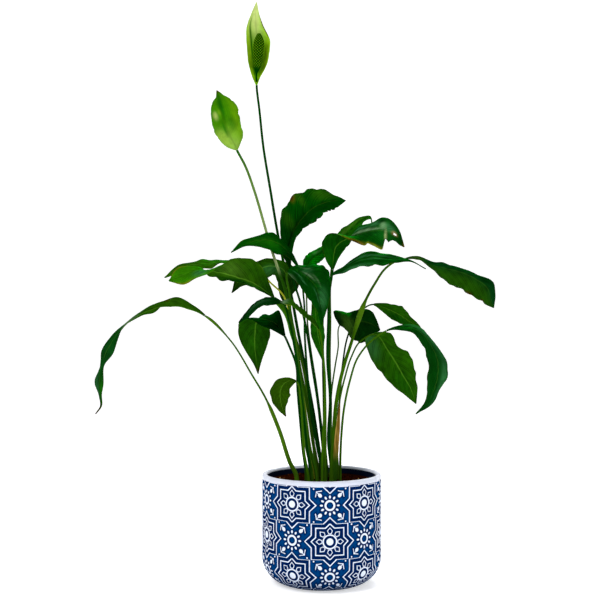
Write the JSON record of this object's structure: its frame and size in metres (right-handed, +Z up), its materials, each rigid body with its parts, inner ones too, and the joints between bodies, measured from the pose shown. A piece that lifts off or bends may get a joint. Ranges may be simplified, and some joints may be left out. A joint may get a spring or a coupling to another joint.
{
  "type": "potted peace lily",
  "caption": "Evergreen houseplant with arching glossy leaves and hooded green flowers on tall thin stalks, growing in compost in a round glazed pot with a raised star pattern.",
  "frame": {"origin": "centre of the pot's flat foot, on the surface it stands on", "axes": "+Z up the plant, -Y towards its front, +X to the right seen from the front"},
  "size_m": [0.4494, 0.1898, 0.6594],
  "materials": {
    "glazed_pot": "glossy blue glaze with raised white lines and a white rim",
    "compost": "loose matt brown compost",
    "leaf_blade": "glossy dark green above, duller olive green beneath",
    "stalk": "smooth yellow-green",
    "spathe": "smooth soft green",
    "spadix": "knobbly dark green",
    "dry_sheath": "dry papery tan"
  },
  "bodies": {
    "root": {"pot": "glazed_pot", "compost": "compost", "leaf_top_stalk": "stalk", "leaf_top_blade": "leaf_blade", "leaf_left_upper_stalk": "stalk", "leaf_left_upper_blade": "leaf_blade", "leaf_left_front_stalk": "stalk", "leaf_left_front_blade": "leaf_blade", "leaf_left_behind_stalk": "stalk", "leaf_left_behind_blade": "leaf_blade", "leaf_left_back_stalk": "stalk", "leaf_left_back_blade": "leaf_blade", "leaf_centre_front_stalk": "stalk", "leaf_centre_front_blade": "leaf_blade", "leaf_centre_small_stalk": "stalk", "leaf_centre_small_blade": "leaf_blade", "leaf_right_torn_stalk": "stalk", "leaf_right_torn_blade": "leaf_blade", "leaf_right_curled_stalk": "stalk", "leaf_right_curled_blade": "leaf_blade", "leaf_right_middle_stalk": "stalk", "leaf_right_middle_blade": "leaf_blade", "leaf_right_far_stalk": "stalk", "leaf_right_far_blade": "leaf_blade", "leaf_right_drooping_stalk": "stalk", "leaf_right_drooping_blade": "leaf_blade", "leaf_right_small_stalk": "stalk", "leaf_right_small_blade": "leaf_blade", "leaf_right_glossy_stalk": "stalk", "leaf_right_glossy_blade": "leaf_blade", "leaf_right_back_stalk": "stalk", "leaf_right_back_blade": "leaf_blade", "leaf_left_hanging_stalk": "stalk", "leaf_left_hanging_blade": "leaf_blade", "leaf_left_narrow_stalk": "stalk", "leaf_left_narrow_blade": "leaf_blade", "leaf_upright_folded_stalk": "stalk", "leaf_upright_folded_blade": "leaf_blade", "leaf_edge_on_stalk": "stalk", "leaf_edge_on_blade": "leaf_blade", "leaf_left_lower_stalk": "stalk", "leaf_left_lower_blade": "leaf_blade", "leaf_far_left_stalk": "stalk", "leaf_far_left_blade": "leaf_blade", "flower_high_stalk": "stalk", "flower_high_spathe": "spathe", "flower_high_spadix": "spadix", "flower_low_stalk": "stalk", "flower_low_spathe": "spathe", "flower_low_spadix": "spadix", "dry_sheath": "dry_sheath"}
  },
  "joints": []
}
